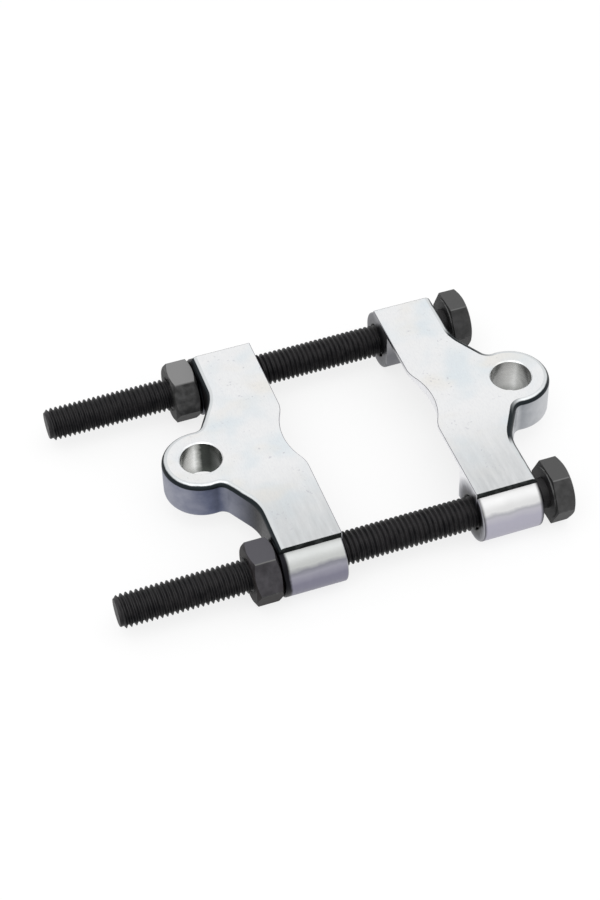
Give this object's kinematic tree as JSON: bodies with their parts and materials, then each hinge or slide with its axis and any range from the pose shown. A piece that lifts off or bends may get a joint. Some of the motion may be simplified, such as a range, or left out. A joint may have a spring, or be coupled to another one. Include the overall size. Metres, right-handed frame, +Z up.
{
  "type": "bearing separator",
  "caption": "Bearing separator: two notched forged halves with puller lugs, drawn together by two long hex-head bolts and nuts.",
  "frame": {"origin": "centre of the bounding box in plan, on the surface that the four end barrels rest on", "axes": "+X along the bolts towards their heads, +Y to the rear bolt, +Z up, out of the flat top faces of the halves"},
  "size_m": [0.1474, 0.0976, 0.0192],
  "materials": {
    "plated_steel": "satin",
    "black_steel": "satin"
  },
  "bodies": {
    "right_half": {"separator_half_right": "plated_steel"},
    "left_half": {"separator_half_left": "plated_steel"},
    "front_bolt": {"clamp_bolt_front": "black_steel"},
    "rear_bolt": {"clamp_bolt_rear": "black_steel"},
    "front_nut": {"hex_nut_front": "black_steel"},
    "rear_nut": {"hex_nut_rear": "black_steel"}
  },
  "joints": [
    {"name": "left_half_slide", "type": "slide", "parent": "right_half", "child": "left_half", "axis": [1, 0, 0], "range_m": [-0.0388, 0.0405]},
    {"name": "front_nut_turn", "type": "hinge", "parent": "left_half", "child": "front_nut", "pos_m": [-0.03095, -0.039, 0.0089], "axis": [1, 0, 0], "range_deg": [-9312.5, 9720.5]},
    {"name": "rear_nut_turn", "type": "hinge", "parent": "left_half", "child": "rear_nut", "pos_m": [-0.03095, 0.039, 0.0089], "axis": [1, 0, 0], "range_deg": [-9312.5, 9720.5]},
    {"name": "front_bolt_turn", "type": "hinge", "parent": "right_half", "child": "front_bolt", "pos_m": [0, -0.039, 0.0089], "axis": [1, 0, 0], "continuous": true},
    {"name": "rear_bolt_turn", "type": "hinge", "parent": "right_half", "child": "rear_bolt", "pos_m": [0, 0.039, 0.0089], "axis": [1, 0, 0], "continuous": true}
  ],
  "couplings": [
    {"joint": "front_nut_turn", "follows": "left_half_slide", "rad_per_m": 4188.8},
    {"joint": "rear_nut_turn", "follows": "left_half_slide", "rad_per_m": 4188.8}
  ]
}
